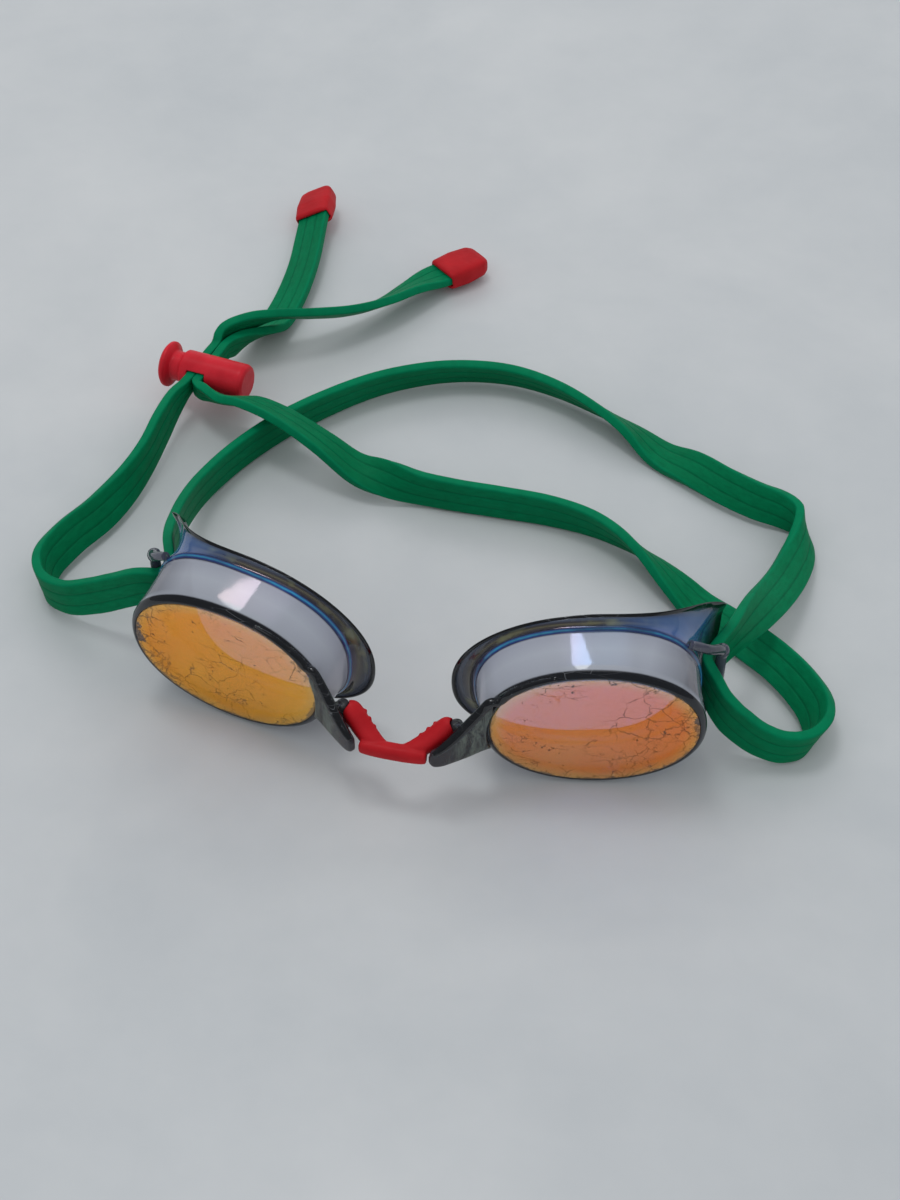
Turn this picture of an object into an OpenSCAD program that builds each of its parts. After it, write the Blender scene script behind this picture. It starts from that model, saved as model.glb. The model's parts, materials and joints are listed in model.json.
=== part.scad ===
// Swim goggles: two one-piece smoke eyecups with mirror panes, a clip-in
// nose bridge, one ribbed head strap threaded through both side bars, and a
// push-button cord lock with capped strap tails. Millimetres, +Z up.
// Origin: on the resting plane, under the middle of the whole product's box.
// The modules are drawn about the middle between the eyecups and moved home at the end.

/* [Eyecups] */
// Half length of the front rim
face_a = 23.5; // [23:0.1:24]
// Half height of the front rim
face_b = 18.0; // [17.6:0.1:18]
// Depth from the front rim to the ledge where the wall ends
wall_d = 9.7; // [9:0.1:10.4]
// Sideways distance from the middle to each pane centre
cup_x = 40.3; // [40:0.1:40.8]
// Height of each pane centre above the resting plane
cup_z = 18.95; // [18.95:0.05:19.3]
// Wrap angle of each pane, temple end swept back
cup_wrap = 10.6; // [10:0.1:11]
// Roll of each pane about its own normal, temple end up
cup_roll = 3.4; // [2.8:0.1:4]
// Backward lean of the eyecups
cup_lean = 1.9; // [1.5:0.1:2.3]
// Moulded wall thickness
wall_t = 1.25; // [1.1:0.05:1.4]

/* [Panes] */
// Width of rim left round each pane
rim_w = 1.5; // [1.3:0.1:1.7]
// Pane thickness
pane_t = 2.0; // [1.8:0.1:2.1]

/* [Nose bridge] */
// Radius of the bridge pegs on the nose tabs
peg_r = 1.4; // [1.3:0.05:1.5]
// Radial running clearance of the clips round the pegs
peg_gap = 0.06; // [0.03:0.01:0.1]
// Sideways position of the pegs
peg_x = 12.3; // [12.2:0.1:12.5]
// Front-to-back position of the pegs
peg_y = -6.0; // [-6.1:0.1:-5.9]

/* [Strap] */
// Strap width
strap_w = 9.2; // [8.8:0.1:9.4]
// Strap thickness
strap_t = 2.3; // [2:0.1:2.4]
// Width of the strap where the cord lock squeezes it
pinch_w = 4.8; // [4.4:0.1:4.8]
// Height of the strap's middle where it passes each side bar
slot_z = 18.2; // [17.9:0.1:18.4]
// Radius of the side bars
bar_r = 1.2; // [1.1:0.05:1.3]

/* [Cord lock] */
// Outer radius of the barrel
lock_r = 4.9; // [4.8:0.1:5.4]
// Press travel of the button
press = 2.6; // [2:0.1:2.6]
// Height of the barrel's axis
lock_z = 9.2; // [9:0.1:9.4]
// Turn of the barrel's axis about the vertical
lock_turn = -8.6; // [-9:0.1:-8]

/* [Hidden] */
face_v = -0.9;                     // the pane sits a little below the middle of the flange
lens_a = face_a - rim_w;
lens_b = face_b - rim_w;
lock_c = [-81.2, 104.8];
home = [4.9, -92.2, 0];            // puts the origin under the middle of the whole product's box         // middle of the strap hole in the barrel
bar_x = 63.5;
bar_y = 22.4;
smoke = [0.33, 0.36, 0.42, 0.75];
red = [0.75, 0.12, 0.14];
green = [0.0, 0.42, 0.25];

// ---------- shared helpers ----------
function sgn(x) = x < 0 ? -1 : 1;
function unit(v) = v / norm(v);
// point of a superellipse at parameter t
function se(a, b, n, t) = [a * sgn(cos(t)) * pow(abs(cos(t)), 2 / n), b * sgn(sin(t)) * pow(abs(sin(t)), 2 / n)];

// closed or open loft through rings of equal length
module loft(rings, closed = false) {
    n = len(rings);
    m = len(rings[0]);
    pts = [for (r = rings) for (p = r) p];
    sides = [for (i = [0 : closed ? n - 1 : n - 2]) for (j = [0 : m - 1])
        let (a = i * m + j, b = i * m + (j + 1) % m, c = ((i + 1) % n) * m + (j + 1) % m, d = ((i + 1) % n) * m + j)
        each [[a, b, c], [a, c, d]]];
    caps = closed ? [] : [[for (j = [m - 1 : -1 : 0]) j], [for (j = [0 : m - 1]) (n - 1) * m + j]];
    polyhedron(pts, concat(sides, caps), convexity = 8);
}

// ---------- eyecup ----------
// outward direction in the pane's plane
function nrm(t) = unit([cos(t) / 24, sin(t) / 18.5]);
// how far a point belongs to the temple end (0 to about 1.1) and to the nose end
function tmpl(t) = pow(max(0, (cos(t) + 0.1) / 1.05), 3);
function nose(t) = max(0, -cos(t));
function tip(t) = exp(-pow((t - 16) / 9, 2));
function add(p, n, r, d) = [p[0] + n[0] * r, p[1] + n[1] * r, p[2] + d];
// foot of the side wall, where it meets the ledge
function foot(t) = let (p = se(cos(t) > 0 ? 22.3 : 24.9, 18.7, 2.35, t)) [p[0], p[1] + 1, -wall_d - 1.3 * max(0, cos(t))];
// outermost line of the flange that seals round the eye socket
function edge(t) = let (p = se(cos(t) > 0 ? 27.2 : 29.7, sin(t) > 0 ? 19.65 : 18.9, 2.2, t))
    [p[0] + 1.8 * tip(t), p[1] + 0.4, -wall_d - 3.7 + 1.9 * nose(t) - 14.8 * tmpl(t)];
function ledge(t) = add(foot(t), nrm(t), 0.6, -0.5);
// dished surface of the flange between the ledge (f = 0) and the edge (f = 1)
function dish(t, f) = let (a = ledge(t), b = edge(t), k = pow(f, 1.3 + 0.9 * min(1, tmpl(t))))
    add([a[0] + (b[0] - a[0]) * k, a[1] + (b[1] - a[1]) * k, a[2] + (b[2] - a[2]) * f], nrm(t),
        -1.7 * sin(180 * f) * min(1, tmpl(t)), -1.1 * sin(180 * f) * nose(t));
// the back of the flange: the same surface moved by the wall thickness
function back(t, f, k = 1) = let (a = ledge(t), b = edge(t), n = nrm(t),
        dr = (b[0] - a[0]) * n[0] + (b[1] - a[1]) * n[1], dd = b[2] - a[2], l = sqrt(dr * dr + dd * dd))
    add(dish(t, f), n, k * wall_t * dd / l, -k * wall_t * dr / l);
function section(t) = let (n = nrm(t), l0 = se(lens_a, lens_b, 2.1, t), f0 = se(face_a, face_b, 2.1, t),
        l = [l0[0], l0[1] + face_v, 0], f = [f0[0], f0[1] + face_v, 0], b = foot(t), m = (f + b) / 2)
    [add(l, n, 0.06, 0), add(l, n, 0.5, 0), add(f, n, 0, -0.9), add(m, n, -0.2, 0), b, ledge(t),
     dish(t, 0.3), dish(t, 0.6), dish(t, 0.85), add(edge(t), n, 0.1, 0.45), add(edge(t), n, 0.75, -0.1),
     back(t, 1, 1.2), back(t, 0.8), back(t, 0.5), back(t, 0.2), add(b, n, -wall_t, 0.2), add(m, n, -wall_t - 0.1, 0),
     add(f, n, -wall_t - 0.1, -3.4), add(l, n, -1.3, -pane_t - 0.7), add(l, n, -1.3, -pane_t - 0.05), add(l, n, 0.06, -pane_t - 0.05)];

module place_cup() {
    translate([0, 0, cup_z]) rotate([cup_lean, 0, 0]) translate([cup_x, 0, 0]) rotate([0, 0, cup_wrap])
        rotate([90, 0, 0]) rotate([0, 0, cup_roll]) children();
}

// one section of the nose tab: middle x, y; half thickness; low and high z; direction along the tab
tab_path = [[20.4, -3.2, 1.3, 12.0, 27.6], [17.4, -4.9, 1.35, 11.8, 24.5], [14.5, -7.3, 1.3, 11.6, 21.2],
    [12.0, -9.7, 1.2, 12.0, 18.9], [10.0, -11.6, 1.05, 12.4, 17.6], [8.7, -12.8, 0.8, 13.2, 17.2], [8.2, -13.2, 0.4, 14.1, 16.3]];
function tab_ring(i) = let (p = tab_path[i], a = tab_path[max(0, i - 1)], b = tab_path[min(len(tab_path) - 1, i + 1)],
        u = unit([b[0] - a[0], b[1] - a[1]]), q = [-u[1], u[0]], zc = (p[3] + p[4]) / 2, zh = (p[4] - p[3]) / 2)
    [for (k = [0 : 15]) let (s = se(p[2], zh, 4, -k * 22.5)) [p[0] + q[0] * s[0], p[1] + q[1] * s[0], zc + s[1]]];

module eyecup() {
    place_cup() loft([for (i = [0 : 71]) section(180 - i * 5)], closed = true);
    difference() {
        loft([for (i = [0 : len(tab_path) - 1]) tab_ring(i)]);
        // the tab stays clear of the pane and of the room in front of it
        place_cup() translate([0, face_v, -pane_t - 1.4]) linear_extrude(8)
            polygon([for (i = [0 : 35]) se(lens_a + 0.7, lens_b + 0.7, 2.1, i * 10 + 2.5)]);
    }
    // peg that the nose bridge clips round, with a head and a foot
    translate([peg_x, peg_y, 12.9]) cylinder(r = peg_r, h = 7.6, $fn = 48);
    translate([peg_x, peg_y, 19.75]) cylinder(r = 1.9, h = 0.8, $fn = 48);
    translate([peg_x, peg_y, 12.9]) cylinder(r = 1.9, h = 0.6, $fn = 48);
    translate([peg_x, peg_y, 12.9]) rotate([0, 0, -42]) translate([0, -0.7, 0]) cube([2.2, 1.4, 7.6]);
    // side bar that the strap wraps round, and its two arms
    translate([bar_x, bar_y, 11.2]) cylinder(r = bar_r, h = 13.8, $fn = 48);
    translate([bar_x, bar_y, 25.0]) sphere(r = 1.5, $fn = 32);
    hull() { translate([bar_x, bar_y, 24.9]) sphere(r = 1.1, $fn = 20); translate([61.2, 17.6, 29.6]) sphere(r = 1.1, $fn = 20); }
    hull() { translate([61.2, 17.6, 29.6]) sphere(r = 1.1, $fn = 20); translate([57.4, 14.6, 33.2]) sphere(r = 1.0, $fn = 20); }
    hull() { translate([bar_x, bar_y, 11.7]) sphere(r = 1.2, $fn = 20); translate([60.4, 17.8, 9.8]) sphere(r = 1.2, $fn = 20); }
    hull() { translate([60.4, 17.8, 9.8]) sphere(r = 1.2, $fn = 20); translate([57.2, 14.2, 9.6]) sphere(r = 1.2, $fn = 20); }
}

module lens() {
    place_cup() translate([0, face_v, -pane_t]) linear_extrude(pane_t + 0.12)
        polygon([for (i = [0 : 71]) se(lens_a, lens_b, 2.1, i * 5)]);
}

module right_eyecup() { color(smoke) eyecup(); }
module left_eyecup() { color(smoke) mirror([1, 0, 0]) eyecup(); }
module right_lens() { color([0.87, 0.45, 0.22]) lens(); }
module left_lens() { color([0.88, 0.55, 0.2]) mirror([1, 0, 0]) lens(); }

// ---------- nose bridge ----------
module bridge_half() {
    difference() {
        union() {
            linear_extrude(9) polygon([[-0.05, -13.4], [4, -13.25], [7.0, -12.7], [6.9, -10.7], [8.5, -9.2], [10.5, -8.5],
                [12.0, -3.5], [11.0, -3.5], [9.9, -4.2], [9.1, -4.9], [8.6, -5.9], [7.8, -6.2], [7.3, -7.2], [6.5, -7.5],
                [5.9, -8.5], [4.8, -9.6], [3.6, -10.3], [2.4, -10.8], [1.2, -11.05], [-0.05, -11.1]]);
            translate([peg_x, peg_y, 0]) cylinder(r = 2.8, h = 9, $fn = 64);
        }
        // open side of the clip, facing the tab
        translate([peg_x, peg_y, -1]) rotate([0, 0, -42]) translate([0.6, -6, 0]) cube([6, 12, 12]);
    }
}
module nose_bridge() {
    color(red) difference() {
        intersection() {
            translate([0, 0, 12.6]) { bridge_half(); mirror([1, 0, 0]) bridge_half(); }
            translate([20, 0, 0]) rotate([90, 0, -90]) linear_extrude(40)
                polygon([[13.6, 13.0], [13.6, 15.8], [13.0, 16.3], [10.3, 16.4], [9.2, 16.7], [6.6, 19.3], [2.4, 19.5], [2.4, 14.3], [6.6, 14.0], [10.0, 12.7]]);
        }
        for (s = [-1, 1]) translate([s * peg_x, peg_y, 5]) cylinder(r = peg_r + peg_gap, h = 25, $fn = 64);
    }
}

// ---------- head strap ----------
// point of the lock's own frame: a across the layers (+ towards the closed end), b along the strap (+ to the front)
function lk(a, b) = [lock_c[0] + a * cos(lock_turn) + b * sin(lock_turn), lock_c[1] + a * sin(lock_turn) - b * cos(lock_turn), lock_z];
lay = strap_t / 2 + 0.12;
// height of the strap's middle when its lower edge is a given lift above the resting plane
function up(lift, lean) = 0.2 + lift + abs(cos(lean)) * strap_w / 2 + abs(sin(lean)) * strap_t / 2;
// strap bend points: x, y, lift of the lower edge, lean of the upright strap to its right
// more: whole turns of lean the strap has already taken
function run(pts, more = 0) = [for (q = pts) [q[0], q[1], up(q[2], q[3]), q[3] + more, strap_w]];
// half turn of the strap round a side bar, from its front (-90) to its inner side (0) and on to the back
turn_r = bar_r + 0.5 + strap_t / 2;
function turn(side, angles, lean = 0) = [for (a = angles) [side * (bar_x - turn_r * cos(a)), bar_y + turn_r * sin(a), slot_z, lean, strap_w]];
// the strap narrows where the lock squeezes it
function squeeze(side, lean, bs) = [for (b = bs) [each lk(side * lay, b), lean, pinch_w]];
way = concat(
    // long tail, from its cap to the lock
    run([[-27, 173.5, 2.4, -88], [-30.5, 169.5, 2.4, -88], [-34, 165.5, 2.4, -86], [-38.5, 158.4, 1.8, -66], [-44.5, 148.8, 1.9, -52],
        [-52, 140.6, 3.7, -50], [-60, 134.3, 6.1, -50], [-68.5, 129.4, 7.7, -48], [-75.5, 124.5, 6.8, -30]]),
    [[-81, 118, 10, -10, 6.6]],
    squeeze(-1, 0, [-10.5, -7, 0, 5.2, 6]),
    // lock to the left side bar
    [[-84.5, 93.5, 8.8, 4, 7]],
    run([[-85, 83.5, 3.4, 6], [-85.5, 73.5, 2, 8], [-87, 63, 1, 18], [-90.3, 52.3, 0.3, 34], [-94.8, 41.5, 0.3, 38], [-96.3, 32, 0.3, 24],
        [-93.5, 25, 0.8, 6], [-87, 21.5, 2.2, 0], [-79, 20.3, 5.6, -4], [-71.5, 19.8, 9.8, -2]]),
    turn(-1, [-100, -70, -35, 0, 20]),
    // behind the head to the right side bar
    run([[-64.5, 33, 12, 0], [-67, 43, 8.4, 2], [-68.5, 53.5, 4.8, 2], [-68.5, 65, 1.6, 2], [-65.5, 77, 0.3, 2],
        [-59, 90, 0.2, 4], [-49, 103.5, 0.2, 10], [-34.8, 117, 0.2, 18], [-18, 125.3, 0.2, 24], [-3, 127, 0.2, 27],
        [9, 124.3, 0.2, 31], [20, 119.3, 0.2, 39], [30, 113.8, 0.2, 56], [39, 108.4, 0.2, 88], [48, 102.8, 0.2, 118],
        [57, 96.9, 0.2, 138], [65.5, 92.9, 0.2, 150], [71.5, 91, 0.2, 163], [75.3, 88.8, 0.2, 181], [77, 84.6, 0.2, 202],
        [77.2, 78.6, 0.8, 221], [76.2, 71.5, 2.6, 235], [74.6, 63.5, 4.8, 240], [72.5, 55.5, 7.2, 236], [70.2, 48, 9.4, 224],
        [67.8, 41, 11.2, 206], [65.4, 34.5, 12.6, 189]]),
    turn(1, [35, 0, -35], 180),
    // right loop and back to the lock
    run([[62.6, 18.7, 12.8, 0], [64.4, 16.9, 10.9, 2], [67, 15.7, 8, 2], [70.4, 15.2, 5, 2], [75, 15, 2.2, 2], [80, 15.6, 0.6, 4], [84.3, 18, 0.2, 12], [86.4, 22.6, 0.2, 24],
        [85.6, 28.5, 0.2, 40], [82, 34.5, 0.2, 48], [76.5, 40.5, 0.2, 52], [69, 46.5, 0.2, 60], [62, 52, 0.2, 74],
        [55.5, 57.5, 0.2, 92], [49, 62.5, 0.2, 112], [42.5, 67.5, 0.2, 134], [35.5, 72, 0.2, 154], [28, 75.5, 0.2, 166],
        [17, 77.8, 0.2, 176], [4, 78.2, 0.2, 180], [-9, 78.2, 0.2, 182], [-19, 78.6, 0.4, 192], [-26, 79.5, 1.6, 228],
        [-33, 81, 4.2, 266], [-42, 83.5, 7.4, 286], [-50.5, 86.5, 9.4, 294], [-58, 89.6, 9.9, 296], [-65.5, 92.4, 9, 300]], 180),
    [[-71.8, 94.6, 10, 492, 8], [-77.2, 96.8, 9.4, 516, 6]],
    squeeze(1, 540, [6, 5.2, 0, -7, -10.5]),
    // short tail, from the lock to its cap
    [[-77.2, 119.6, 7.8, 556, 7]],
    run([[-74.3, 128, 1.2, 412], [-72, 136.5, 0.4, 436], [-71, 146, 0.6, 436], [-71, 156, 0.8, 432], [-71.8, 166, 0.8, 428],
        [-73.2, 176, 1.2, 426], [-74.2, 183, 1.7, 424], [-74.9, 187.5, 1.7, 424], [-75.6, 192, 1.7, 424]], 180));
nw = len(way);
function p3(v) = [v[0], v[1], v[2]];
function gap(i) = norm(p3(way[i + 1]) - p3(way[i]));
function slope(i) = i == 0 ? (way[1] - way[0]) / gap(0) : i == nw - 1 ? (way[i] - way[i - 1]) / gap(i - 1) :
    ((way[i] - way[i - 1]) / gap(i - 1) * gap(i) + (way[i + 1] - way[i]) / gap(i) * gap(i - 1)) / (gap(i - 1) + gap(i));
function curve(i, t) = let (h = gap(i), t2 = t * t, t3 = t2 * t)
    (2 * t3 - 3 * t2 + 1) * way[i] + (t3 - 2 * t2 + t) * h * slope(i) + (3 * t2 - 2 * t3) * way[i + 1] + (t3 - t2) * h * slope(i + 1);
function dcurve(i, t) = let (h = gap(i), t2 = t * t)
    p3((6 * t2 - 6 * t) / h * way[i] + (3 * t2 - 4 * t + 1) * slope(i) + (6 * t - 6 * t2) / h * way[i + 1] + (3 * t2 - 2 * t) * slope(i + 1));
// travel, width and thickness directions of a strap section
function axes(d, lean) = let (u = unit(d), s = unit(cross(u, [0, 0, 1])), n = cross(s, u), w = cos(lean) * n + sin(lean) * s) [u, w, cross(u, w)];
function strap_ring(i, t) = let (c = curve(i, t), a = axes(dcurve(i, t), c[3]), w = a[1] * c[4] / 2, b = a[2] * strap_t / 2, p = p3(c))
    [p + w + b, p + w - b, p - w - b, p - w + b];

module head_strap() {
    color(green) loft(concat(
        [for (i = [0 : nw - 2]) let (k = max(1, ceil(gap(i) / 2.6))) for (j = [0 : k - 1]) strap_ring(i, j / k)],
        [strap_ring(nw - 2, 1)]));
}

// ---------- strap end caps ----------
cap_rings = [[-8.2, 4.7, 2.2], [-7.6, 5.3, 2.75], [-2.0, 5.6, 3.0], [3.4, 5.1, 2.7], [5.0, 4.2, 2.1], [5.4, 3.6, 1.6]];
module cap() {
    difference() {
        loft([for (r = cap_rings) [for (k = [0 : 23]) let (s = se(r[2], r[1], 5, k * 15)) [r[0], s[1], s[0]]]]);
        translate([-9, -strap_w / 2 - 0.25, -strap_t / 2 - 0.25]) cube([9.3, strap_w + 0.5, strap_t + 0.5]);
    }
}
// put a cap's local x along u, its y along the strap's width and its z along the strap's thickness
module at_frame(p, u, w) {
    b = cross(u, w);
    multmatrix([[u[0], w[0], b[0], p[0]], [u[1], w[1], b[1], p[1]], [u[2], w[2], b[2], p[2]], [0, 0, 0, 1]]) children();
}
module strap_end_long() {
    a = axes(dcurve(0, 0), way[0][3]);
    color(red) at_frame(p3(way[0]), -a[0], a[1]) cap();
}
module strap_end_short() {
    a = axes(dcurve(nw - 2, 1), way[nw - 1][3]);
    color(red) at_frame(p3(way[nw - 1]), a[0], a[1]) cap();
}

// ---------- cord lock ----------
barrel_a = -5.2;
barrel_b = 13.0;
hole_a = strap_t + 0.12 + 0.15;
hole_w = pinch_w / 2 + 0.3;
module place_lock() { translate([lock_c[0], lock_c[1], lock_z]) rotate([0, 0, lock_turn]) children(); }
module turned(profile) { rotate([90, 0, 90]) rotate_extrude($fn = 72) polygon(profile); }
module lock_barrel() {
    color(red) place_lock() difference() {
        turned([[0, barrel_a], [lock_r - 0.5, barrel_a], [lock_r, barrel_a + 0.6], [lock_r, barrel_b - 1.2], [lock_r - 0.4, barrel_b - 0.35], [lock_r - 1.2, barrel_b], [0, barrel_b]]);
        rotate([0, 90, 0]) translate([0, 0, barrel_a - 1]) cylinder(r = 3.96, h = 11.8 - barrel_a + 1, $fn = 64);
        translate([-hole_a, -10, -hole_w]) cube([2 * hole_a, 20, 2 * hole_w]);
    }
}
module lock_plunger() {
    color(red) place_lock() difference() {
        turned([[0, -11.0], [3.4, -10.9], [5.2, -10.4], [6.0, -9.7], [6.0, -9.0], [5.3, -8.5], [3.9, -7.9], [3.9, 6.0], [3.4, 6.5], [0, 6.5]]);
        translate([-hole_a - press - 0.05, -10, -hole_w - 0.05]) cube([2 * hole_a + press + 0.02, 20, 2 * hole_w + 0.1]);
        rotate([0, 90, 0]) translate([0, 0, 5.2]) cylinder(r = 3.2, h = 3, $fn = 48);
    }
}
module lock_spring() {
    turns = 4.5;
    n = 81;
    x0 = 5.75;
    x1 = 11.25;
    color([0.7, 0.7, 0.72]) place_lock() loft([for (i = [0 : n - 1]) let (f = i / (n - 1), a = f * turns * 360, x = x0 + (x1 - x0) * f)
        [for (k = [0 : 7]) let (r = 2.6 + 0.38 * cos(k * 45)) [x + 0.38 * sin(k * 45), r * cos(a), r * sin(a)]]]);
}

translate(home) left_eyecup();
translate(home) right_eyecup();
translate(home) left_lens();
translate(home) right_lens();
translate(home) nose_bridge();
translate(home) head_strap();
translate(home) lock_barrel();
translate(home) lock_plunger();
translate(home) lock_spring();
translate(home) strap_end_short();
translate(home) strap_end_long();
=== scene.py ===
import bpy
import bmesh
import json
import math
import numpy as np
from mathutils import Vector, Matrix
from mathutils.kdtree import KDTree

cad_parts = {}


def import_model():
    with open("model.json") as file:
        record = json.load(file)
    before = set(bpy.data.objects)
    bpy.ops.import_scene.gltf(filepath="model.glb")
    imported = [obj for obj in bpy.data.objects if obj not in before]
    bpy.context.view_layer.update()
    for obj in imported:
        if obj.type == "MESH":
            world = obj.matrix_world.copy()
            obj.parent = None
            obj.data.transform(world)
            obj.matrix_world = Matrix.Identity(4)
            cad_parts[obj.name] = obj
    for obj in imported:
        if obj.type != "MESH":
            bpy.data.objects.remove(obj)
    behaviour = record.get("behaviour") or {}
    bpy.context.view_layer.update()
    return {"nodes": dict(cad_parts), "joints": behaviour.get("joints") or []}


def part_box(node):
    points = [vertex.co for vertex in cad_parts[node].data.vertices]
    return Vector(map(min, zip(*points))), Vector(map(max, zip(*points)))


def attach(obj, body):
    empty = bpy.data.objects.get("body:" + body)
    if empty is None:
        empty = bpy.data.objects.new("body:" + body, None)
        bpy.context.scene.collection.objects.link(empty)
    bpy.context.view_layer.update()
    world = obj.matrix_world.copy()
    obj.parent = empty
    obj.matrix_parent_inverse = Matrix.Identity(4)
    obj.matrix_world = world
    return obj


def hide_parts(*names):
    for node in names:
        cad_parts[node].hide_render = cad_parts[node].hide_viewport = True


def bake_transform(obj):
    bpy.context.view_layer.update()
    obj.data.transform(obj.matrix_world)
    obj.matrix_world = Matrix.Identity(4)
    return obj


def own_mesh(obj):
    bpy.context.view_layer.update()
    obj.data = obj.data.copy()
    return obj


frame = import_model()
nodes = frame["nodes"]

# The CAD is drawn in millimetres about the middle between the eyecups and then moved home; the peg hinge says by how much.
hinge = next(j for j in frame["joints"] if j["name"] == "right_cup_hinge")
HOME = np.array(hinge["pos_m"]) * 1000 - np.array([12.3, -6.0, 16.5])


def world(p):
    """Millimetres about the middle of the eyecups -> metres in the row frame."""
    return (np.asarray(p, float) + HOME) / 1000.0


def mid(node):
    lo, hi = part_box(node)
    return (Vector(lo) + Vector(hi)) / 2


# ------------------------------------------------------------------ node helpers
class Nodes:
    """Short way to write a node material."""

    def __init__(self, name):
        self.mat = bpy.data.materials.new(name)
        self.mat.use_nodes = True
        self.t = self.mat.node_tree
        self.t.nodes.clear()
        self.out = self.t.nodes.new("ShaderNodeOutputMaterial")

    def new(self, kind, inputs=None, **props):
        n = self.t.nodes.new(kind)
        for k, v in props.items():
            setattr(n, k, v)
        for k, v in (inputs or {}).items():
            s = n.inputs[k]
            if hasattr(v, "is_linked") or hasattr(v, "links"):
                self.t.links.new(v, s)
            else:
                s.default_value = v
        return n

    def link(self, a, b):
        self.t.links.new(a, b)

    def coord(self):
        return self.new("ShaderNodeTexCoord").outputs["Object"]

    def attr(self, name):
        return self.new("ShaderNodeAttribute", attribute_name=name).outputs["Fac"]

    def noise(self, vec, scale, detail=4.0, rough=0.55, dist=0.0):
        n = self.new("ShaderNodeTexNoise", {"Vector": vec, "Scale": scale, "Detail": detail, "Roughness": rough, "Distortion": dist})
        return n.outputs["Fac"]

    def math(self, op, a, b=0.0, c=0.0, clamp=False):
        n = self.new("ShaderNodeMath", operation=op, use_clamp=clamp)
        for i, v in enumerate((a, b, c)):
            if hasattr(v, "links"):
                self.link(v, n.inputs[i])
            else:
                n.inputs[i].default_value = v
        return n.outputs[0]

    def ramp(self, fac, stops, interpolation="LINEAR"):
        n = self.new("ShaderNodeValToRGB", {"Fac": fac})
        r = n.color_ramp
        r.interpolation = interpolation
        while len(r.elements) < len(stops):
            r.elements.new(0.5)
        for e, (p, c) in zip(r.elements, sorted(stops, key=lambda s: s[0])):
            e.position = p
            e.color = (c, c, c, 1) if isinstance(c, (int, float)) else (*c[:3], 1)
        return n.outputs["Color"]

    def mix(self, fac, a, b, blend="MIX"):
        n = self.new("ShaderNodeMix", data_type="RGBA", blend_type=blend)
        for k, v in ((0, fac), (6, a), (7, b)):
            if hasattr(v, "links"):
                self.link(v, n.inputs[k])
            elif k == 0:
                n.inputs[k].default_value = v
            else:
                n.inputs[k].default_value = (*v[:3], 1)
        return n.outputs[2]

    def scaled(self, vec, s):
        return self.new("ShaderNodeMapping", {"Vector": vec, "Scale": s}).outputs["Vector"]

    def bump(self, height, strength, distance, normal=None):
        n = self.new("ShaderNodeBump", {"Height": height, "Strength": strength, "Distance": distance})
        if normal is not None:
            self.link(normal, n.inputs["Normal"])
        return n.outputs["Normal"]

    def principled(self, **inputs):
        return self.new("ShaderNodeBsdfPrincipled", {k.replace("_", " "): v for k, v in inputs.items()})

    def done(self, shader):
        self.link(shader, self.out.inputs["Surface"])
        return self.mat


# ------------------------------------------------------------------ materials
def mat_strap():
    m = Nodes("strap_rubber_green")
    c = m.coord()
    along = m.attr("along")
    fine = m.noise(c, 900.0, 3.0, 0.6)
    broad = m.noise(c, 38.0, 3.0, 0.5)
    streak = m.new("ShaderNodeCombineXYZ", {"X": m.math("MULTIPLY", along, 0.12), "Y": m.math("MULTIPLY", m.attr("across"), 3.2), "Z": 0.0}).outputs[0]
    lines = m.noise(streak, 3.0, 4.0, 0.6)
    base = m.mix(m.ramp(broad, [(0.3, 0.0), (0.75, 1.0)]), (0.0, 0.155, 0.058), (0.0, 0.215, 0.086))
    base = m.mix(m.ramp(lines, [(0.42, 0.0), (0.72, 0.55)]), base, (0.0, 0.115, 0.046))
    # painted highlight: the strap's edges are painted a lighter green, as if they caught more light than the faces
    edge = m.ramp(m.math("ABSOLUTE", m.attr("across")), [(0.40, 0.0), (0.475, 1.0)])
    base = m.mix(m.math("MULTIPLY", edge, 0.35), base, (0.0, 0.240, 0.112))
    # painted shade: the grooves along the strap are painted a darker green
    groove = m.attr("groove")
    base = m.mix(m.math("MULTIPLY", groove, 0.45), base, (0.0, 0.085, 0.036))
    rough = m.math("ADD", m.math("MULTIPLY", fine, 0.16), 0.42)
    h = m.math("ADD", m.math("MULTIPLY", fine, 0.35), lines)
    p = m.principled(Base_Color=base, Roughness=rough, Normal=m.bump(h, 0.28, 0.00018))
    p.inputs["Specular IOR Level"].default_value = 0.05
    return m.done(p.outputs[0])


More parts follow.
